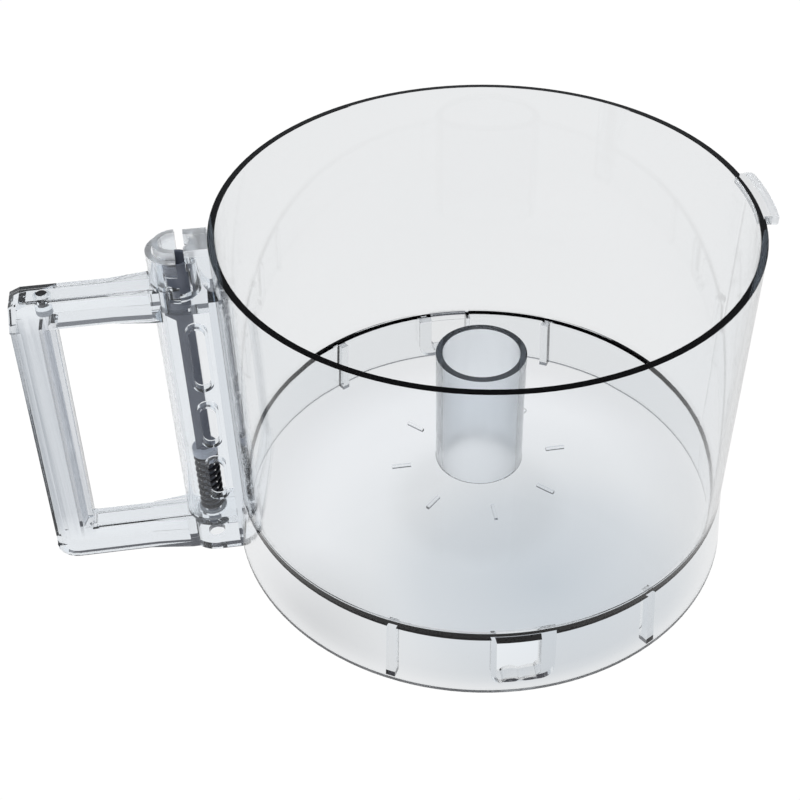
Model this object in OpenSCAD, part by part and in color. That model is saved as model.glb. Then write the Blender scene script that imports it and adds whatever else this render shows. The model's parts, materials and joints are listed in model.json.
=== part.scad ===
// Clear work bowl of a food processor, with its hollow handle and the spring-loaded
// push rod that the lid presses to close the base's safety switch.
// Origin: on the bowl's axis, in the plane of its foot. +Z is up and the handle is on -X.

/* [Bowl] */
// Outer diameter of the bowl at the rim
bowl_d = 230; // [200:1:280]
// Height of the rim above the foot
bowl_h = 166; // [138:1:200]
// Thickness of the bowl's wall
wall_t = 3; // [2.4:0.1:3.8]
// How much smaller the outer radius is at the floor than at the rim
wall_draft = 0.8; // [0:0.1:3]
// Height of the floor's upper face above the foot
floor_z = 32.6; // [27:0.1:39]
// Thickness of the floor
floor_t = 3; // [2.4:0.1:3.8]
// Thickness of the skirt below the floor
skirt_t = 2.6; // [2:0.1:3.4]
// How far the skirt flares outward from the floor to the foot
skirt_flare = 2.9; // [0:0.1:4]

/* [Drive tube] */
// Outer diameter of the centre tube
tube_d = 41.2; // [36:0.1:50]
// Bore of the centre tube, which the drive shaft passes through
tube_bore = 35; // [29:0.1:36]
// Height of the tube's top above the foot
tube_top = 93.4; // [78:0.1:112]

/* [Base and lid fastenings] */
// Width of each locking window in the skirt
window_w = 19; // [15:0.1:22]
// Direction of the front window from +X, in degrees; the other one is opposite
window_az = 267.6; // [255:0.1:285]
// How far the ribs and window frames stand in from the skirt
rib_depth = 4.6; // [3:0.1:6]
// Thickness of the ribs inside the skirt
rib_t = 4; // [3:0.1:5]
// How far the rim lug stands out from the rim
lug_out = 6; // [4:0.1:8]
// Angle that the rim lug covers
lug_sweep = 17; // [10:0.5:24]

/* [Handle] */
// Distance of the push rod's axis from the bowl's outer wall
rod_offset = 13.4; // [13:0.1:17]
// Half the width of the column that joins the handle to the bowl
column_r = 12; // [11.4:0.1:14.5]
// Distance from the bowl's outer wall to the outside of the grip at its top
grip_reach = 84.5; // [70:0.5:104]
// How far the grip leans outward from its top to its bottom
grip_lean = 3.5; // [0:0.1:6]
// Radial width of the grip
grip_w = 18.5; // [15:0.1:22]
// Depth of the grip and arms, across the handle
grip_depth = 12.6; // [10.8:0.1:15.6]
// Distance from the rim down to the upper arm's top face
arm_drop = 16.5; // [14:0.1:22]
// Height of each arm
arm_h = 15; // [12:0.1:18]
// How much taller the lower arm is than the upper one
lower_arm_extra = 3.5; // [0:0.1:5]
// Width of the slanted faces along the grip's edges
grip_bevel = 4.6; // [3:0.1:5]
// Wall thickness of the hollow handle
shell_t = 2.6; // [2.1:0.1:3.1]

/* [Interlock] */
// Diameter of the push rod's head
head_d = 12.4; // [11:0.1:13]
// Width of the push rod's flat blade
blade_w = 7; // [5.8:0.1:8.4]
// Thickness of the blade
blade_t = 4.4; // [3.6:0.1:5.4]
// Diameter of the round shaft below the blade
shaft_d = 6; // [5:0.1:6.6]
// How far the lid pushes the rod down
travel = 8; // [6:0.1:8.6]
// Outer diameter of the return spring
spring_d = 11.4; // [10.4:0.1:13.6]
// Length of the spring with the rod up
spring_len = 33.5; // [28:0.5:40]
// Diameter of the spring wire
wire_d = 1.7; // [1.3:0.1:2]
// Number of turns in the spring
turns = 8.5; // [6.5:0.5:10]
// Width of the slot in the tower that the lid's tab enters
tab_slot = 3.6; // [3:0.1:4.2]

/* [Hidden] */
$fn = 96;

// Small allowances
eps = 0.01;
weld_gap = 0.05;
run_gap = 0.1;
// How far joined shapes run into each other, and how far cuts run past a face
sink = 0.2;
past = 1;
// Longer than any cut across the handle or above it
wide = 40;
tall = 60;

// Bowl
rim_r = bowl_d / 2;
floor_r = rim_r - wall_draft;
foot_r = floor_r + skirt_flare;
skirt_top = floor_z - floor_t;
edge = 0.2;
corner_r = 2.5;
tube_corner_r = 0.6;
tube_r = tube_d / 2;
tick_count = 8;
tick_from = 33;
tick_to = 42;
tick_w = 1.4;
tick_h = 1.4;
rib_spread = 60;
rib_low = 0.6;
frame_left = 1.8;
frame_right = 6.4;
frame_low = 4.6;
frame_corner_left = 3.5;
frame_corner_right = 6;
bump_low = 5.8;
bump_high = 7.8;
lug_h = 4;
lug_az = -2;
lug_corner_r = 3;

// Handle
arm_top = bowl_h - arm_drop;
rod_r = rim_r + rod_offset;
column_end = rod_r + column_r;
cavity_r = column_r - shell_t;
grip_top_r = rim_r + grip_reach;
grip_foot_r = grip_top_r + grip_lean;
half_depth = grip_depth / 2;
lower_top = arm_h + lower_arm_extra;
arm_low = arm_top - arm_h;
edge_cut = 0.5;
grip_bevel_in = 2.2;
corner = 1.2;
heel_r = 9;
crown_cut = 6;
flare_w = 2.2;
flare_len = 20;
divider_t = 1.4;
divider_in = 5.4;
seam_y = 3.4;

// Tower that guides the rod's head
deck_top = arm_top - 5;
deck_t = 6;
deck_low = deck_top - deck_t;
tower_top = bowl_h + 2.2;
tower_outer_top = bowl_h - 1;
sleeve_in = head_d / 2 + run_gap;
sleeve_t = 2.4;
sleeve_out = sleeve_in + sleeve_t;
bridge_half = 8;
bridge_h = 6.3;
slot_x = -rod_r + 0.2;
slot_floor = arm_top - 0.5;
web_w = 5.5;
web_h = 15;
view_w = 9;
view_h = 12;

// Push rod and spring
head_top = bowl_h - 6;
head_low = deck_low - 0.4;
head_wall = 1.5;
cup_depth = 14;
stop_reach = 4.2;
stop_h = 4;
stop_z = head_low - stop_h;
ledge_t = 2;
seat_z = 17;
seat_t = 3.4;
seat_r = spring_d / 2 + 0.8;
spring_low = seat_z + seat_t;
spring_top = spring_low + spring_len;
washer_t = 3.4;
blade_low = spring_top + washer_t;
rod_foot = travel + 0.6;
foot_hole_r = shaft_d / 2 + 1;
base_t = 3;

// Openings in the column's near wall, each with a lip around it inside the column
core_w = 7;
core_gap = 9.5;
core_r = rod_r - 4.2;
core_low = spring_low + 12;
core_top = deck_low - 7.5;
core_len = (core_top - core_low - 2 * core_gap) * 0.29;
core_mid = core_low + core_len + core_gap;
core_high = core_mid + core_len + core_gap;
core_slots = [[core_low, core_low + core_len], [core_mid, core_mid + core_len], [core_high, core_top]];
lip_t = 1.2;
lip_gap = 0.6;
lip_in = cavity_r - max(head_d, spring_d + 0.2) / 2 - lip_gap;

// Boss and hole on top of the grip
boss_r = 3.6;
boss_h = 9;
plug_r = 2.3;
plug_h = 4.6;
plug_sunk = 0.2;
hole_depth = plug_sunk + plug_h + 0.3;
boss_in = 3.6;

CLEAR = [0.86, 0.90, 0.93, 0.45];
CLEAR_DARK = [0.78, 0.83, 0.88, 0.5];
SLATE = [0.34, 0.36, 0.42];
PALE = [0.74, 0.77, 0.82];
BLACK = [0.08, 0.08, 0.09];

// Points of an arc about c, with radius r, from angle a to angle b
function arc(c, r, a, b, n = 6) =
    [for (i = [0:n]) c + r * [cos(a + (b - a) * i / n), sin(a + (b - a) * i / n)]];

// Outer radius of the bowl at height z
function outer_r(z) = z < floor_z
    ? foot_r + (floor_r - foot_r) * z / floor_z
    : floor_r + (rim_r - floor_r) * (z - floor_z) / (bowl_h - floor_z);

// Outer radius of the handle's grip at height z
function grip_out(z) = grip_foot_r + (grip_top_r - grip_foot_r) * z / arm_top;

// Carries an outline drawn in X and Z across the handle
module across(w) {
    rotate([90, 0, 0])
        linear_extrude(w, center = true)
            children();
}

// ---------- work bowl ----------

// Solid of revolution with the bowl's outer shape, from z0 to z1, grown by gap
module bowl_envelope(gap, z0, z1) {
    rotate_extrude($fn = 240)
        polygon([[0, z0], [outer_r(z0) + gap, z0], [outer_r(floor_z) + gap, floor_z],
            [outer_r(z1) + gap, z1], [0, z1]]);
}

module bowl_shell() {
    wall_in_floor = floor_r - wall_t;
    rim_in = rim_r - wall_t;
    rotate_extrude($fn = 240)
        polygon(concat(
            [[foot_r - skirt_t, 0], [foot_r, 0], [floor_r, floor_z],
                [rim_r, bowl_h - edge], [rim_r - edge, bowl_h],
                [rim_in + edge, bowl_h], [rim_in, bowl_h - edge]],
            arc([wall_in_floor - corner_r, floor_z + corner_r], corner_r, 0, -90),
            arc([tube_r + tube_corner_r, floor_z + tube_corner_r], tube_corner_r, -90, -180),
            [[tube_r, tube_top - edge], [tube_r - edge, tube_top],
                [tube_bore / 2 + edge, tube_top], [tube_bore / 2, tube_top - edge],
                [tube_bore / 2, skirt_top], [floor_r - skirt_t, skirt_top]]));
}

// Ring sector inside the skirt, centred on direction az and w wide
module skirt_sector(az, w, depth, z0, z1) {
    sweep = w / (floor_r - depth) * 180 / PI;
    rotate([0, 0, az - sweep / 2])
        rotate_extrude(angle = sweep, $fn = 240)
            polygon([[outer_r(z0) - skirt_t - depth, z0], [outer_r(z0) - skirt_t + sink, z0],
                [outer_r(z1) - skirt_t + sink, z1], [outer_r(z1) - skirt_t - depth, z1]]);
}

// Outline of a locking window: its lower edge has two cam bumps and a slanted corner
module window_outline() {
    half = window_w / 2;
    left_r = window_w * 0.26;
    right_r = window_w * 0.2;
    polygon(concat(
        [[-half, skirt_top - sink], [-half, bump_low + 2.4], [-half + 1.2, bump_low]],
        arc([-window_w * 0.15, bump_high + 0.5 - left_r], left_r, 148, 42),
        arc([window_w * 0.23, bump_high - right_r], right_r, 128, 90, 3),
        [[half - 1.9, bump_high], [half, bump_high + 2.4], [half, skirt_top - sink]]));
}

// Outline of the frame round a window, with rounded lower corners
module frame_outline() {
    left = -window_w / 2 - frame_left;
    right = window_w / 2 + frame_right;
    polygon(concat(
        [[left, skirt_top + sink]],
        arc([left + frame_corner_left, frame_low + frame_corner_left], frame_corner_left, 180, 270),
        arc([right - frame_corner_right, frame_low + frame_corner_right], frame_corner_right, 270, 360),
        [[right, skirt_top + sink]]));
}

// Carries an outline drawn beside a window through the skirt in direction az
module through_skirt(az) {
    rotate([0, 0, az + 90])
        translate([0, -floor_r + rib_depth + 10, 0])
            rotate([90, 0, 0])
                linear_extrude(30)
                    children();
}

// Thickened skirt round a window
module window_frame(az) {
    turn = (frame_right - frame_left) / 2 / floor_r * 180 / PI;
    intersection() {
        skirt_sector(az + turn, window_w + frame_left + frame_right + 4, rib_depth, 0, skirt_top + sink);
        through_skirt(az)
            frame_outline();
    }
}

// Lug on the rim, square at its front end and rounded at its back end
module rim_lug() {
    lug_r = rim_r + lug_out;
    difference() {
        rotate([0, 0, lug_az - lug_sweep / 2])
            rotate_extrude(angle = lug_sweep, $fn = 240)
                polygon([[rim_r - wall_t / 2, bowl_h - lug_h], [lug_r - edge, bowl_h - lug_h],
                    [lug_r, bowl_h - lug_h + edge], [lug_r, bowl_h - edge],
                    [lug_r - edge, bowl_h], [rim_r - wall_t / 2, bowl_h]]);
        rotate([0, 0, lug_az + lug_sweep / 2])
            translate([lug_r - lug_corner_r, -lug_corner_r, bowl_h - lug_h - past])
                difference() {
                    cube([lug_corner_r + past, lug_corner_r + past, lug_h + 2 * past]);
                    translate([0, 0, -past])
                        cylinder(h = lug_h + 4 * past, r = lug_corner_r);
                }
    }
}

module work_bowl() {
    color(CLEAR)
        difference() {
            union() {
                bowl_shell();
                rim_lug();
                for (side = [0, 180]) {
                    window_frame(window_az + side);
                    for (k = [-1, 1])
                        skirt_sector(270 + side + k * rib_spread / 2, rib_t, rib_depth,
                            rib_low, skirt_top + sink);
                }
                for (i = [0:tick_count - 1])
                    rotate([0, 0, i * 360 / tick_count])
                        translate([tick_from, -tick_w / 2, skirt_top - tick_h])
                            cube([tick_to - tick_from, tick_w, tick_h + sink]);
            }
            for (side = [0, 180])
                through_skirt(window_az + side)
                    window_outline();
        }
}

// ---------- handle ----------

// Side outline of the handle's outer loop, inset by i, as a filled shape
module loop_outline(i) {
    crown = -grip_out(arm_top) + i;
    polygon(concat(
        [[-rod_r, i], [-rod_r, arm_top - i], [crown + crown_cut, arm_top - i],
            [crown + crown_cut / 4, arm_top - i - crown_cut / 3], [-grip_out(arm_low) + i, arm_low]],
        arc([-grip_foot_r + heel_r, heel_r], heel_r - i, 180, 270, 5)));
}

// Side outline of the finger opening, grown by i
module opening_outline(i) {
    high = -grip_out(arm_low) + grip_w - i;
    low = -grip_out(lower_top) + grip_w - i;
    polygon([[-column_end + 8, lower_top - i], [-column_end + 8, arm_low + i],
        [high + corner, arm_low + i], [high, arm_low + i - corner],
        [low, lower_top - i + corner], [low + corner, lower_top - i]]);
}

// Plan outline of one arm's root, which widens towards the column
module root_plan() {
    w = half_depth + flare_w;
    tip = column_end + flare_len;
    polygon([[-rod_r, -w], [-column_end, -w], [-tip, -half_depth + edge_cut],
        [-tip, half_depth - edge_cut], [-column_end, w], [-rod_r, w]]);
}

// Plan outline of the column, inset by i: flat sides and a half-round end
module column_outline(i) {
    translate([-rod_r, 0])
        circle(column_r - i);
    translate([-rod_r, -column_r + i])
        square([rod_offset + skirt_flare + 2, 2 * (column_r - i)]);
}

// Wedge that cuts a slanted face along one edge of the grip. From z0 to z1 the edge runs from
// x0 to x1; the face reaches w towards the grip's middle. The side is -1 or 1.
module edge_wedge(x0, x1, z0, z1, w, side) {
    out = w > 0 ? -past : past;
    y_in = side * (half_depth - grip_bevel_in * (1 + past / abs(w)));
    slope = grip_bevel_in / abs(w);
    y_out = side * (half_depth + slope * past);
    ring = [[out, y_in], [w + past * sign(w), y_out], [out, y_out + side * past]];
    low = [for (p = ring) [x0 + p[0], p[1], z0]];
    high = [for (p = ring) [x1 + p[0], p[1], z1]];
    polyhedron(concat(low, high), side * w > 0
        ? [[0, 1, 2], [5, 4, 3], [0, 3, 4, 1], [1, 4, 5, 2], [2, 5, 3, 0]]
        : [[2, 1, 0], [3, 4, 5], [1, 4, 3, 0], [2, 5, 4, 1], [0, 3, 5, 2]]);
}

// Arms and grip as a solid bar with bevelled long edges
module loop_solid() {
    difference() {
        union() {
            hull() {
                across(grip_depth) loop_outline(edge_cut);
                across(grip_depth - 2 * edge_cut) loop_outline(0);
            }
            translate([0, 0, arm_low])
                linear_extrude(arm_h - edge_cut / 2)
                    root_plan();
            linear_extrude(lower_top)
                root_plan();
        }
        across(wide) opening_outline(0);
        for (side = [-1, 1]) {
            hull() {
                translate([0, side * half_depth, 0])
                    across(2 * eps) opening_outline(edge_cut);
                translate([0, side * (half_depth - edge_cut), 0])
                    across(2 * eps) opening_outline(0);
            }
            edge_wedge(-grip_out(heel_r), -grip_out(arm_low), heel_r, arm_low, grip_bevel, side);
            edge_wedge(-grip_out(lower_top) + grip_w, -grip_out(arm_low) + grip_w,
                lower_top, arm_low, -grip_bevel, side);
        }
    }
}

// Hollow inside the arms and grip
module loop_hollow() {
    rib_low = -grip_out(lower_top) + grip_w - divider_in;
    rib_high = -grip_out(arm_low) + grip_w - divider_in;
    difference() {
        across(grip_depth - 2 * shell_t) loop_outline(shell_t);
        across(wide) opening_outline(shell_t);
        // wall that closes each arm off from the column
        translate([-column_end - 0.4, -wide / 2, 0])
            cube([wide, wide, arm_top]);
        // divider along the grip
        across(wide)
            polygon([[rib_low, lower_top], [rib_high, arm_low],
                [rib_high - divider_t, arm_low], [rib_low - divider_t, lower_top]]);
        grip_boss(boss_r, boss_h);
    }
}

// Upright cylinder at the place of the hole in the grip's top
module grip_boss(r, depth) {
    translate([-grip_out(arm_top) + grip_w - boss_in, 0, arm_top - depth])
        cylinder(h = depth + 1, r = r);
}

// Inside of the column between two heights
module chamber(z0, z1) {
    translate([0, 0, z0])
        linear_extrude(z1 - z0)
            intersection() {
                column_outline(shell_t);
                translate([-rod_r - column_r, -column_r])
                    square([column_r + rod_offset - shell_t, 2 * column_r]);
            }
}

// Bar with round ends, r wide from its centre line, in the column's near wall
module core_bar(low, top, r, depth) {
    translate([-core_r, -column_r - past, 0])
        rotate([-90, 0, 0])
            linear_extrude(depth + past) {
                for (z = [low + core_w / 2, top - core_w / 2])
                    translate([0, -z])
                        circle(r);
                translate([-r, -top + core_w / 2])
                    square([2 * r, top - low - core_w]);
            }
}

// Column against the bowl's wall, before its chambers are cut
module column_solid() {
    linear_extrude(deck_top)
        column_outline(0);
}

// Everything that is cut out of the column and the arms' roots
module column_cuts() {
    difference() {
        chamber(spring_low - 0.8, deck_low);
        for (s = core_slots)
            core_bar(s[0], s[1], core_w / 2 + lip_t, shell_t + lip_in);
    }
    chamber(base_t, seat_z - ledge_t);
    translate([-rod_r, 0, 0]) {
        // pocket for the spring's seat
        translate([0, 0, seat_z])
            cylinder(h = seat_t, r = seat_r + weld_gap);
        // holes for the shaft through the ledge and the base
        translate([0, 0, -1])
            cylinder(h = seat_z + 2, r = foot_hole_r);
        translate([0, 0, deck_low - 1])
            cylinder(h = tower_top, r = sleeve_in);
    }
    for (s = core_slots)
        core_bar(s[0], s[1], core_w / 2, shell_t + lip_in + past);
}

// Tower on top of the column: a sleeve for the rod's head inside a half-round guard
module tower() {
    difference() {
        union() {
            translate([-rod_r, 0, deck_low])
                cylinder(h = tower_top - deck_low, r = sleeve_out);
            // half-round guard
            intersection() {
                translate([-rod_r, 0, deck_low])
                    difference() {
                        cylinder(h = tower_outer_top - deck_low, r = column_r);
                        translate([0, 0, -past])
                            cylinder(h = tall, r = cavity_r);
                    }
                translate([-rod_r - column_r - 1, -column_r - 1, 0])
                    cube([column_r + 1.2, 2 * column_r + 2, tower_top]);
            }
            // bridge from the sleeve to the rim
            translate([-rod_r, -bridge_half, tower_top - bridge_h])
                cube([rod_offset + 2, 2 * bridge_half, bridge_h]);
            // curved web between the bridge and the wall
            across(2 * bridge_half)
                polygon(concat([[-rim_r + 1, tower_top - bridge_h - web_h], [-rim_r + 1, tower_top - 1]],
                    [for (a = [180:10:270])
                        [-rim_r + web_w * cos(a), tower_top - bridge_h + web_h * sin(a)]]));
        }
        translate([-rod_r, 0, deck_low - 1])
            cylinder(h = tower_top, r = sleeve_in);
        // slot for the lid's tab
        translate([slot_x, -column_r - 1, slot_floor])
            cube([tab_slot, 2 * column_r + 2, tall]);
        // window on the near side
        translate([-rod_r - view_w / 2, -column_r - 1, deck_top + 1.5])
            cube([view_w, column_r + 1, view_h]);
    }
}

// Frame and cover together
module handle_solid() {
    difference() {
        union() {
            difference() {
                loop_solid();
                loop_hollow();
            }
            column_solid();
            tower();
        }
        column_cuts();
        bowl_envelope(weld_gap, -1, bowl_h + 20);
        grip_boss(plug_r + weld_gap, hole_depth);
    }
}

// The half-space that the cover fills, drawn back by gap
module cover_space(gap) {
    translate([-grip_foot_r - past, seam_y + gap, -past])
        cube([grip_foot_r - column_end + past - 0.4, wide, arm_top + 2 * past]);
    translate([-column_end - past, seam_y + gap, -past])
        cube([column_end - rim_r + 20, wide, deck_low + past - gap]);
}

module handle_frame() {
    color(CLEAR)
        difference() {
            handle_solid();
            cover_space(0);
        }
}

module handle_cover() {
    color(CLEAR_DARK)
        intersection() {
            handle_solid();
            cover_space(weld_gap);
        }
}

module grip_plug() {
    color(SLATE)
        translate([-grip_out(arm_top) + grip_w - boss_in, 0, arm_top - plug_sunk - plug_h]) {
            cylinder(h = plug_h - edge, r = plug_r);
            translate([0, 0, plug_h - edge])
                cylinder(h = edge, r1 = plug_r, r2 = plug_r - edge);
        }
}

// ---------- interlock ----------

module rod_head() {
    color(SLATE)
        translate([-rod_r, 0, 0])
            difference() {
                union() {
                    translate([0, 0, head_low])
                        cylinder(h = 2, r1 = head_d / 2 - 1.8, r2 = head_d / 2);
                    translate([0, 0, head_low + 2])
                        cylinder(h = head_top - head_low - 2, r = head_d / 2);
                }
                translate([0, 0, head_top - cup_depth])
                    cylinder(h = cup_depth + 1, r = head_d / 2 - head_wall);
                translate([-blade_w / 2, -blade_t / 2, head_low - 1])
                    cube([blade_w, blade_t, 4]);
            }
}

module push_rod() {
    color(SLATE)
        translate([-rod_r, 0, 0])
            union() {
                translate([-blade_w / 2, -blade_t / 2, blade_low])
                    cube([blade_w, blade_t, head_low + 3 - blade_low]);
                translate([0, 0, rod_foot])
                    cylinder(h = blade_low - rod_foot + 1, r = shaft_d / 2);
                // stop that catches under the deck
                translate([-blade_w / 2, blade_t / 2, stop_z])
                    rotate([90, 0, 0])
                        linear_extrude(blade_t)
                            polygon([[1, -stop_h], [-stop_reach, 0], [-stop_reach, stop_h], [1, stop_h]]);
            }
}

module spring_washer() {
    color(PALE)
        translate([-rod_r, 0, spring_top])
            difference() {
                cylinder(h = washer_t, r = spring_d / 2 + 0.1);
                translate([0, 0, -1])
                    cylinder(h = washer_t + 2, r = shaft_d / 2 + run_gap / 2);
            }
}

// Coil: rings of points along a helix, joined into one closed tube
module return_spring() {
    sides = 10;
    per_turn = 24;
    rings = turns * per_turn;
    mean_r = (spring_d - wire_d) / 2;
    rise = (spring_top - spring_low - wire_d - 0.2) / turns;
    pts = [for (i = [0:rings], j = [0:sides - 1])
        let (a = 360 * i / per_turn, b = 360 * j / sides, r = mean_r + wire_d / 2 * cos(b))
        [r * cos(a), r * sin(a), spring_low + 0.1 + wire_d / 2 + rise * i / per_turn + wire_d / 2 * sin(b)]];
    tube = [for (i = [0:rings - 1], j = [0:sides - 1])
        [i * sides + j, i * sides + (j + 1) % sides, (i + 1) * sides + (j + 1) % sides, (i + 1) * sides + j]];
    ends = [[for (j = [0:sides - 1]) sides - 1 - j], [for (j = [0:sides - 1]) rings * sides + j]];
    color(BLACK)
        translate([-rod_r, 0, 0])
            polyhedron(pts, concat(tube, ends));
}

module spring_seat() {
    color(CLEAR)
        translate([-rod_r, 0, seat_z])
            difference() {
                cylinder(h = seat_t, r = seat_r);
                translate([0, 0, -1])
                    cylinder(h = seat_t + 2, r = shaft_d / 2 + run_gap);
            }
}

work_bowl();
handle_frame();
handle_cover();
grip_plug();
rod_head();
push_rod();
spring_washer();
return_spring();
spring_seat();
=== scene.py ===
"""Looks of a clear food processor work bowl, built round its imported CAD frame. Metres, +Z up."""

import json
import math

import bmesh
import bpy
from mathutils import Matrix, Vector


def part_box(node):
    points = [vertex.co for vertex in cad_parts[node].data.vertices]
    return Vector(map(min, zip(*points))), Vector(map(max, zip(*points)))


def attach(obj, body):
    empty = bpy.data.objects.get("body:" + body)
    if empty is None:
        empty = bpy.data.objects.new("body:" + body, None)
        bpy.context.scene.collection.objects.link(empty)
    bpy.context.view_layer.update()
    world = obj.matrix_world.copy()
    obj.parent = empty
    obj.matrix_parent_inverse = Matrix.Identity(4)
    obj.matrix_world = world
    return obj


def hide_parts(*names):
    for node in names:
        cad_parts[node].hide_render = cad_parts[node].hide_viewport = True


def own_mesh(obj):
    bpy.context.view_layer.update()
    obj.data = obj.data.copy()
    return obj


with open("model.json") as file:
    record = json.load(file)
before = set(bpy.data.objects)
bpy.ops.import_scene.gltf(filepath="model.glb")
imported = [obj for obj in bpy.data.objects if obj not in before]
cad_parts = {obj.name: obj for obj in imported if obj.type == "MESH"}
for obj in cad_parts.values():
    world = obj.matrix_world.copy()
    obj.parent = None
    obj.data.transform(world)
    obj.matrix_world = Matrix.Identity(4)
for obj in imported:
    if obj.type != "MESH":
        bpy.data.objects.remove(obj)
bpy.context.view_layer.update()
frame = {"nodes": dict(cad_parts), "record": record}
RECORD = frame["record"]
NODES = frame["nodes"]
MM = 0.001
MOUNTS = {m["name"]: m for m in RECORD["mounts"]}

# Sizes that the materials follow
TUBE_BORE_R = MOUNTS["drive_tube_bore"]["dims"]["r_mm"] * MM
TUBE = MOUNTS["drive_tube_outside"]
TUBE_R = TUBE["dims"]["r_mm"] * MM
TUBE_TOP = TUBE["pos_m"][2] + TUBE["dims"]["length_mm"] / 2 * MM
SLACK = 0.1 * MM
FOOT_TOP = 0.3 * MM
LUG_R = MOUNTS["rim"]["pos_m"][1] + 4.7 * MM
TOWER_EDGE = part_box("work_bowl")[1].z - 1.3 * MM
SEAM_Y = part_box("handle_cover")[0].y - 0.025 * MM
SEAM_HALF = 0.06 * MM

# The grip: its outer face leans in as it rises, and a rib divides its width
GRIP_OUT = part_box("handle_frame")[0].x
GRIP_LEAN = 3.5 / 149.5
GRIP_W = 18.5 * MM
GRIP_FADE = [(0.012, 0.0), (0.020, 1.0), (0.1325, 1.0), (0.1345, 0.0)]
DIVIDER_IN = 12.4 * MM
DIVIDER_HALF = 0.7 * MM
# painted shade: dark line where the grip's dividing rib is seen edge-on
DIVIDER_PAINTED_SHADE = (0.56, 0.575, 0.60)
# painted shade: how fast the painted grip shade bands change with distance in from the outer face
SHADE_BANDS_PER_M = 30.0

# Camera: where it stands round the bowl's axis, and how it looks
CAM_TURN = math.radians(-12.0)
CAM_OUT = 0.47447
CAM_UP = 0.47101
CAM_YAW = math.radians(-4.493)
CAM_PITCH = math.radians(40.55)
CAM_ROLL = math.radians(-1.419)
CAM_LENS = 60.49
SENSOR = 36.0

# Clear plastic
CLEAR_IOR = 1.58
BOWL_SHEEN = (0.30, 0.30, 0.31, 1)
HANDLE_SHEEN = (0.18, 0.18, 0.19, 1)
MATT = 0.38
BORE_MILK = 0.22
LUG_MILK = 0.5
EDGE_MILK = 0.22
HANDLE_CLARITY = 0.986
BODY_TINT = (0.982, 0.992, 1.0)
BORE_TINT = (0.89, 0.925, 0.96)
# painted shade: near-black colour for the tube's cut top, standing in for the clear edge's dark look
TUBE_TOP_PAINTED_SHADE = (0.055, 0.06, 0.068)
HANDLE_TINT = (0.97, 0.985, 1.0)

# Studio floor: brighter to the camera than to other rays, with a painted soft shadow inside the foot
FLOOR_HALF = 6.0
FLOOR_DROP = 0.2 * MM
WHITE = 1.02
THROUGH_LEVEL = 0.87
FOOT_FADE = (0.108, 0.116)
SHADE_CENTRE = (0.02, -0.06, 0.0)
SIDE_SHADE_CENTRE = (-0.098, -0.066, 0.0)

# Lights: name, place, size, power
LIGHT_AIM = (0, 0, 0.05)
LIGHTS = [("key", (-0.9, -0.7, 1.3), (0.7, 0.7), 14),
          ("fill", (1.2, -0.3, 1.0), (0.5, 0.9), 7)]


# ---------- helpers ----------

def new_material(name):
    """An empty node material: (material, nodes, links, output, principled shader)."""
    mat = bpy.data.materials.new(name)
    mat.use_nodes = True
    tree = mat.node_tree
    tree.nodes.clear()
    out = tree.nodes.new("ShaderNodeOutputMaterial")
    shader = tree.nodes.new("ShaderNodeBsdfPrincipled")
    tree.links.new(shader.outputs["BSDF"], out.inputs["Surface"])
    return mat, tree.nodes, tree.links, out, shader


def noise(nodes, links, scale, detail=3.0, rough=0.5, stretch=(1, 1, 1)):
    """Noise in the object's own coordinates; stretch pulls it along an axis."""
    place = nodes.new("ShaderNodeTexCoord")
    mapping = nodes.new("ShaderNodeMapping")
    mapping.inputs["Scale"].default_value = stretch
    tex = nodes.new("ShaderNodeTexNoise")
    tex.inputs["Scale"].default_value = scale
    tex.inputs["Detail"].default_value = detail
    tex.inputs["Roughness"].default_value = rough
    links.new(place.outputs["Object"], mapping.inputs["Vector"])
    links.new(mapping.outputs["Vector"], tex.inputs["Vector"])
    return tex


def ramp(nodes, links, source, stops):
    """Colour ramp over source; stops are (position, grey or colour)."""
    node = nodes.new("ShaderNodeValToRGB")
    line = node.color_ramp
    while len(line.elements) > 1:
        line.elements.remove(line.elements[0])
    for i, (at, value) in enumerate(stops):
        e = line.elements[0] if i == 0 else line.elements.new(at)
        e.position = at
        e.color = (*value, 1) if isinstance(value, tuple) else (value, value, value, 1)
    links.new(source, node.inputs["Fac"])
    return node


def add_bump(nodes, links, shader, height, strength, distance):
    bump = nodes.new("ShaderNodeBump")
    bump.inputs["Strength"].default_value = strength
    bump.inputs["Distance"].default_value = distance
    links.new(height, bump.inputs["Height"])
    links.new(bump.outputs["Normal"], shader.inputs["Normal"])


def split_place(nodes, links):
    """The object's own X, Y and Z, as sockets."""
    place = nodes.new("ShaderNodeTexCoord")
    split = nodes.new("ShaderNodeSeparateXYZ")
    links.new(place.outputs["Object"], split.inputs["Vector"])
    return split.outputs["X"], split.outputs["Y"], split.outputs["Z"]


def axis_distance(nodes, links):
    """Distance from the bowl's axis, as a socket."""
    place = nodes.new("ShaderNodeTexCoord")
    flat = times(nodes, links, place.outputs["Object"], (1, 1, 0))
    radius = nodes.new("ShaderNodeVectorMath")
    radius.operation = "LENGTH"
    links.new(flat, radius.inputs[0])
    return radius.outputs["Value"]


def times(nodes, links, a, b):
    """Product of two colours or vectors; a is a socket, b a socket or three numbers."""
    node = nodes.new("ShaderNodeVectorMath")
    node.operation = "MULTIPLY"
    links.new(a, node.inputs[0])
    if isinstance(b, tuple):
        node.inputs[1].default_value = b
    else:
        links.new(b, node.inputs[1])
    return node.outputs["Vector"]


def distance_to(nodes, links, point):
    """Distance from a point in the object's own space, as a socket."""
    place = nodes.new("ShaderNodeTexCoord")
    far = nodes.new("ShaderNodeVectorMath")
    far.operation = "DISTANCE"
    far.inputs[1].default_value = point
    links.new(place.outputs["Object"], far.inputs[0])
    return far.outputs["Value"]


def within(nodes, links, value, middle, half):
    """1 where value lies within half of middle, else 0."""
    node = calc(nodes, links, "COMPARE", value, middle).node
    node.inputs[2].default_value = half
    return node.outputs["Value"]


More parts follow.
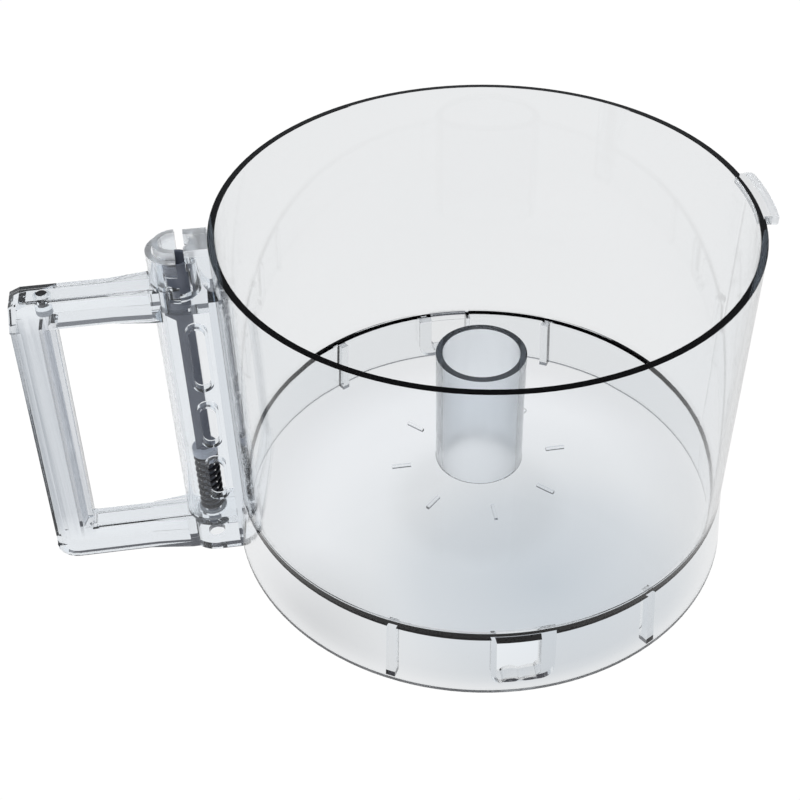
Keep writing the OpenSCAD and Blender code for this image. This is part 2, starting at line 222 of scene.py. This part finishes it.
def calc(nodes, links, operation, a, b=None):
    """A Math node; a and b are sockets or numbers."""
    node = nodes.new("ShaderNodeMath")
    node.operation = operation
    for i, value in enumerate((a, b)):
        if value is None:
            continue
        if isinstance(value, (int, float)):
            node.inputs[i].default_value = value
        else:
            links.new(value, node.inputs[i])
    return node.outputs["Value"]


def blend(nodes, links, factor, a, b):
    """Mix of two colours or greys by factor; a and b are sockets or colours."""
    node = nodes.new("ShaderNodeMix")
    node.data_type = "RGBA"
    links.new(factor, node.inputs["Factor"])
    for key, value in (("A", a), ("B", b)):
        if isinstance(value, tuple):
            node.inputs[key].default_value = (*value, 1)
        else:
            links.new(value, node.inputs[key])
    return node.outputs["Result"]


# ---------- materials ----------

def polycarbonate(name, absorb, density, gloss_range, sheen):
    """Clear moulded plastic with a trace of haze, fine wiping marks and slight flow in its surface."""
    mat, nodes, links, out, shader = new_material(name)
    shader.inputs["Base Color"].default_value = (1, 1, 1, 1)
    shader.inputs["Transmission Weight"].default_value = 1.0
    shader.inputs["IOR"].default_value = CLEAR_IOR
    shader.inputs["Specular Tint"].default_value = sheen
    smear = noise(nodes, links, 38, 4, 0.6, (1, 1, 0.35))
    gloss = ramp(nodes, links, smear.outputs["Fac"], [(0.35, gloss_range[0]), (0.72, gloss_range[1])])
    matt = ramp(nodes, links, smear.outputs["Fac"], [(0.3, MATT * 0.85), (0.7, MATT * 1.15)])
    flow = noise(nodes, links, 22, 2, 0.4, (1, 1, 0.5))
    add_bump(nodes, links, shader, flow.outputs["Fac"], 0.03, 0.3 * MM)
    volume = nodes.new("ShaderNodeVolumeAbsorption")
    volume.inputs["Color"].default_value = (*absorb, 1)
    volume.inputs["Density"].default_value = density
    links.new(volume.outputs["Volume"], out.inputs["Volume"])
    return mat, nodes, links, shader, gloss.outputs["Color"], matt.outputs["Color"]


def bowl_plastic():
    """Polished, with a matt tube bore, a rubbed foot and a matt rim lug; the tube's cut top is painted near
    black as shade for its dark edge.
    """
    mat, nodes, links, shader, gloss, matt = polycarbonate(
        "clear_bowl", (0.785, 0.80, 0.815), 60.0, (0.003, 0.018), BOWL_SHEEN)
    z = split_place(nodes, links)[2]
    radius = axis_distance(nodes, links)
    bore = calc(nodes, links, "LESS_THAN", radius, TUBE_BORE_R + SLACK)
    foot = calc(nodes, links, "LESS_THAN", z, FOOT_TOP)
    lug = calc(nodes, links, "GREATER_THAN", radius, LUG_R)
    rough = calc(nodes, links, "MAXIMUM", calc(nodes, links, "MAXIMUM", bore, foot), lug)
    links.new(blend(nodes, links, rough, gloss, matt), shader.inputs["Roughness"])
    milky = calc(nodes, links, "ADD", calc(nodes, links, "MULTIPLY", bore, BORE_MILK),
                 calc(nodes, links, "MULTIPLY", lug, LUG_MILK))
    links.new(calc(nodes, links, "SUBTRACT", 1.0, milky), shader.inputs["Transmission Weight"])
    # painted shade: the tube's cut top is coloured near black
    near_tube = calc(nodes, links, "LESS_THAN", radius, TUBE_R + SLACK)
    high = calc(nodes, links, "GREATER_THAN", z, TUBE_TOP - 1.5 * SLACK)
    top = calc(nodes, links, "MULTIPLY", near_tube, high)
    body = blend(nodes, links, bore, BODY_TINT, BORE_TINT)
    links.new(blend(nodes, links, top, body, TUBE_TOP_PAINTED_SHADE), shader.inputs["Base Color"])
    return mat


def handle_plastic():
    """Glossy with a trace of haze, painted shade in bands and streaks along the grip, a painted dark line
    on its rib, and milky upper edges on the tower.
    """
    mat, nodes, links, shader, gloss, matt = polycarbonate(
        "clear_handle", (0.80, 0.835, 0.87), 45.0, (0.02, 0.05), HANDLE_SHEEN)
    x, y, z = split_place(nodes, links)
    edges = calc(nodes, links, "GREATER_THAN", z, TOWER_EDGE)
    links.new(blend(nodes, links, edges, gloss, matt), shader.inputs["Roughness"])
    milky = calc(nodes, links, "MULTIPLY", edges, EDGE_MILK)
    links.new(calc(nodes, links, "SUBTRACT", HANDLE_CLARITY, milky), shader.inputs["Transmission Weight"])
    # painted shade: bands that follow the distance in from the grip's leaning outer face
    lean = calc(nodes, links, "MULTIPLY", z, -GRIP_LEAN)
    inward = calc(nodes, links, "ADD", calc(nodes, links, "SUBTRACT", x, GRIP_OUT), lean)
    shade_bands = ramp(nodes, links, calc(nodes, links, "MULTIPLY", inward, SHADE_BANDS_PER_M),
                [(0.0, (0.74, 0.76, 0.78)), (0.105, (0.80, 0.82, 0.84)), (0.15, (0.95, 0.96, 0.97)),
                 (0.36, (0.97, 0.98, 0.99)), (0.42, (0.90, 0.91, 0.93)), (0.60, (0.92, 0.93, 0.94)),
                 (0.66, (1.0, 1.0, 1.0))])
    # painted shade in fine streaks along the grip
    streak = noise(nodes, links, 420, 3, 0.55, (1, 1, 0.012))
    streak_shade = ramp(nodes, links, streak.outputs["Fac"],
                [(0.32, (0.78, 0.79, 0.81)), (0.48, (0.90, 0.91, 0.92)), (0.66, (0.99, 0.99, 1.0))])
    tone = times(nodes, links, shade_bands.outputs["Color"], streak_shade.outputs["Color"])
    # painted shade: a dark line along the dividing rib, seen edge-on in the clear grip
    divider = within(nodes, links, inward, DIVIDER_IN, DIVIDER_HALF)
    grip_painted_shade = blend(nodes, links, divider, tone, DIVIDER_PAINTED_SHADE)
    body = ramp(nodes, links, z, GRIP_FADE)
    grip = calc(nodes, links, "LESS_THAN", inward, GRIP_W)
    zone = calc(nodes, links, "MULTIPLY", grip, body.outputs["Color"])
    links.new(blend(nodes, links, zone, HANDLE_TINT, grip_painted_shade), shader.inputs["Base Color"])
    # the two mouldings are welded along the seam, so its faces don't mirror
    joined = nodes.new("ShaderNodeBsdfTransparent")
    surface = nodes.new("ShaderNodeMixShader")
    links.new(within(nodes, links, y, SEAM_Y, SEAM_HALF), surface.inputs["Fac"])
    links.new(shader.outputs["BSDF"], surface.inputs[1])
    links.new(joined.outputs["BSDF"], surface.inputs[2])
    links.new(surface.outputs["Shader"], nodes["Material Output"].inputs["Surface"])
    return mat


def moulded_plastic(name, colour, spread, roughness):
    """Satin moulded plastic: fine spark-eroded grain, faint flow streaks and patchy rubbing."""
    mat, nodes, links, out, shader = new_material(name)
    patch = noise(nodes, links, 160, 5, 0.6, (1, 1, 0.25))
    dark = tuple(c * (1 - spread) for c in colour)
    light = tuple(min(1, c * (1 + spread)) for c in colour)
    tone = ramp(nodes, links, patch.outputs["Fac"], [(0.3, dark), (0.7, light)])
    links.new(tone.outputs["Color"], shader.inputs["Base Color"])
    rub = ramp(nodes, links, patch.outputs["Fac"], [(0.3, roughness * 0.8), (0.7, roughness * 1.2)])
    links.new(rub.outputs["Color"], shader.inputs["Roughness"])
    grain = noise(nodes, links, 2600, 2, 0.5)
    add_bump(nodes, links, shader, grain.outputs["Fac"], 0.25, 0.05 * MM)
    return mat


def spring_steel(name):
    """Dark oil-tempered wire with fine drawing lines and slightly rubbed highlights."""
    mat, nodes, links, out, shader = new_material(name)
    patch = noise(nodes, links, 420, 4, 0.6)
    tone = ramp(nodes, links, patch.outputs["Fac"],
                [(0.3, (0.010, 0.010, 0.012)), (0.6, (0.026, 0.026, 0.030)), (0.8, (0.07, 0.07, 0.08))])
    links.new(tone.outputs["Color"], shader.inputs["Base Color"])
    shader.inputs["Metallic"].default_value = 0.75
    rub = ramp(nodes, links, patch.outputs["Fac"], [(0.3, 0.42), (0.75, 0.26)])
    links.new(rub.outputs["Color"], shader.inputs["Roughness"])
    drawn = noise(nodes, links, 3200, 2, 0.5)
    add_bump(nodes, links, shader, drawn.outputs["Fac"], 0.2, 0.03 * MM)
    return mat


def paint(obj, mat):
    obj.data.materials.clear()
    obj.data.materials.append(mat)


# ---------- camera, lights and floor ----------

def make_camera():
    turn = Matrix.Rotation(CAM_TURN, 3, "Z")
    forward = turn @ Vector((math.sin(CAM_YAW) * math.cos(CAM_PITCH),
                             math.cos(CAM_YAW) * math.cos(CAM_PITCH), -math.sin(CAM_PITCH)))
    right = turn @ Vector((math.cos(CAM_YAW), -math.sin(CAM_YAW), 0))
    up = right.cross(forward)
    c, s = math.cos(CAM_ROLL), math.sin(CAM_ROLL)
    right, up = c * right + s * up, c * up - s * right
    data = bpy.data.cameras.new("camera")
    data.lens = CAM_LENS
    data.sensor_width = SENSOR
    data.clip_start = 0.02
    cam = bpy.data.objects.new("camera", data)
    bpy.context.scene.collection.objects.link(cam)
    cam.matrix_world = Matrix.Translation(turn @ Vector((0, -CAM_OUT, CAM_UP))) @ Matrix(
        (right, up, -forward)).transposed().to_4x4()
    bpy.context.scene.camera = cam


def area_light(name, place, size, power):
    """A soft rectangular light that isn't seen in the plastic's mirror reflections."""
    data = bpy.data.lights.new(name, "AREA")
    data.shape = "RECTANGLE"
    data.size, data.size_y = size
    data.energy = power
    light = bpy.data.objects.new(name, data)
    bpy.context.scene.collection.objects.link(light)
    light.location = place
    light.rotation_euler = (Vector(LIGHT_AIM) - Vector(place)).to_track_quat("-Z", "Y").to_euler()
    light.visible_glossy = False
    light.visible_transmission = False


def make_world():
    """Bright low horizon and a darker ceiling, so that clear edges read dark and faces read bright."""
    world = bpy.data.worlds.new("studio")
    world.use_nodes = True
    bpy.context.scene.world = world
    nodes, links = world.node_tree.nodes, world.node_tree.links
    background = nodes["Background"]
    place = nodes.new("ShaderNodeTexCoord")
    split = nodes.new("ShaderNodeSeparateXYZ")
    links.new(place.outputs["Generated"], split.inputs["Vector"])
    sky = ramp(nodes, links, split.outputs["Z"],
               [(0.0, (0.86, 0.88, 0.90)), (0.22, (0.86, 0.88, 0.90)), (0.50, (0.30, 0.31, 0.33)),
                (0.75, (0.06, 0.06, 0.07)), (1.0, (0.04, 0.04, 0.05))])
    seen = nodes.new("ShaderNodeLightPath")
    colour = blend(nodes, links, seen.outputs["Is Camera Ray"], sky.outputs["Color"], (WHITE, WHITE, WHITE))
    links.new(colour, background.inputs["Color"])
    background.inputs["Strength"].default_value = 1.0


def make_floor():
    """Pale floor that gives off light, with a painted soft shadow inside the bowl's foot."""
    mesh = bpy.data.meshes.new("floor")
    r = FLOOR_HALF
    mesh.from_pydata([(-r, -r, 0), (r, -r, 0), (r, r, 0), (-r, r, 0)], [], [(0, 1, 2, 3)])
    floor = bpy.data.objects.new("floor", mesh)
    bpy.context.scene.collection.objects.link(floor)
    floor.location.z = -FLOOR_DROP
    mat = bpy.data.materials.new("pale_floor")
    mat.use_nodes = True
    nodes, links = mat.node_tree.nodes, mat.node_tree.links
    nodes.clear()
    out = nodes.new("ShaderNodeOutputMaterial")
    glow = nodes.new("ShaderNodeEmission")
    links.new(glow.outputs["Emission"], out.inputs["Surface"])
    # painted shadow: darker at a spot to the front, in a ring near the tube and inside the foot, and at a
    # spot to the left
    from_axis = distance_to(nodes, links, (0.0, 0.0, 0.0))
    outside = ramp(nodes, links, from_axis, [(FOOT_FADE[0], 0.0), (FOOT_FADE[1], 1.0)])
    front = ramp(nodes, links, distance_to(nodes, links, SHADE_CENTRE),
                 [(0.0, (0.73, 0.78, 0.83)), (0.055, (0.86, 0.89, 0.92)), (0.082, (1.01, 1.02, 1.03)),
                  (0.12, (1.12, 1.12, 1.13))])
    ring = ramp(nodes, links, from_axis, [(0.034, 0.93), (0.046, 1.0), (0.080, 1.0), (0.106, 0.90)])
    side = ramp(nodes, links, distance_to(nodes, links, SIDE_SHADE_CENTRE), [(0.012, 0.80), (0.052, 1.0)])
    shade = times(nodes, links, times(nodes, links, front.outputs["Color"], ring.outputs["Color"]),
                  side.outputs["Color"])
    links.new(blend(nodes, links, outside.outputs["Color"], shade, (1.0, 1.0, 1.0)), glow.inputs["Color"])
    seen = nodes.new("ShaderNodeLightPath")
    level = nodes.new("ShaderNodeMapRange")
    level.inputs["To Min"].default_value = THROUGH_LEVEL
    level.inputs["To Max"].default_value = WHITE
    links.new(seen.outputs["Is Camera Ray"], level.inputs["Value"])
    links.new(level.outputs["Result"], glow.inputs["Strength"])
    paint(floor, mat)


# ---------- pieces ----------

def make_spring(mat):
    """The return spring as a real coil: closed end turns, ground flat, with open turns between."""
    low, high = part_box("return_spring")
    wire_r = 0.85 * MM
    coil_r = (high.x - low.x) / 2 - wire_r
    centre = (low + high) / 2
    sunk = 0.75 * wire_r
    bottom, top = low.z + sunk, high.z - sunk
    turns, closed = 9.5, 0.9
    per_turn, sides = 48, 14
    close_rise = 1.84 * wire_r
    pitch = (top - bottom - 2 * closed * close_rise) / (turns - 2 * closed)

    def height(t):
        """Height after t turns: a tight pitch in the end turns, an even one between them."""
        if t < closed:
            return bottom + t * close_rise
        if t > turns - closed:
            return top - (turns - t) * close_rise
        return bottom + closed * close_rise + (t - closed) * pitch

    bm = bmesh.new()
    rings = []
    for i in range(int(turns * per_turn) + 1):
        t = i / per_turn
        a = 2 * math.pi * t
        out = Vector((math.cos(a), math.sin(a), 0))
        core = Vector((centre.x, centre.y, height(t))) + out * coil_r
        ring = []
        for j in range(sides):
            b = 2 * math.pi * j / sides
            p = core + wire_r * (math.cos(b) * out + math.sin(b) * Vector((0, 0, 1)))
            p.z = min(max(p.z, low.z), high.z)
            ring.append(bm.verts.new(p))
        rings.append(ring)
    for a, b in zip(rings, rings[1:]):
        for j in range(sides):
            k = (j + 1) % sides
            bm.faces.new((a[j], a[k], b[k], b[j]))
    bm.faces.new(list(reversed(rings[0])))
    bm.faces.new(rings[-1])
    bmesh.ops.recalc_face_normals(bm, faces=bm.faces)
    mesh = bpy.data.meshes.new("return_spring_coil")
    bm.to_mesh(mesh)
    bm.free()
    mesh.shade_smooth()
    coil = bpy.data.objects.new("return_spring_coil", mesh)
    bpy.context.scene.collection.objects.link(coil)
    paint(coil, mat)
    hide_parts("return_spring")
    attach(coil, "bowl")
    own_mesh(coil)


# ---------- build ----------

make_camera()
make_world()
make_floor()
for light in LIGHTS:
    area_light(*light)

bowl_clear = bowl_plastic()
handle_clear = handle_plastic()
slate = moulded_plastic("slate_plastic", (0.085, 0.096, 0.125), 0.16, 0.38)
black = moulded_plastic("plug_plastic", (0.018, 0.018, 0.021), 0.25, 0.4)
pale = moulded_plastic("pale_plastic", (0.30, 0.33, 0.39), 0.08, 0.35)
steel = spring_steel("spring_steel")

FINISH = {
    "work_bowl": bowl_clear, "handle_frame": handle_clear, "handle_cover": handle_clear,
    "grip_plug": black, "rod_head": slate, "push_rod": slate,
    "spring_washer": pale, "spring_seat": handle_clear, "return_spring": steel,
}
for node, mat in FINISH.items():
    paint(NODES[node], mat)
for node in ("work_bowl", "handle_frame", "handle_cover", "spring_seat"):
    NODES[node].visible_shadow = False
make_spring(steel)

scene = bpy.context.scene
scene.view_settings.view_transform = "Standard"
scene.cycles.max_bounces = 32
scene.cycles.transmission_bounces = 24
scene.cycles.transparent_max_bounces = 24
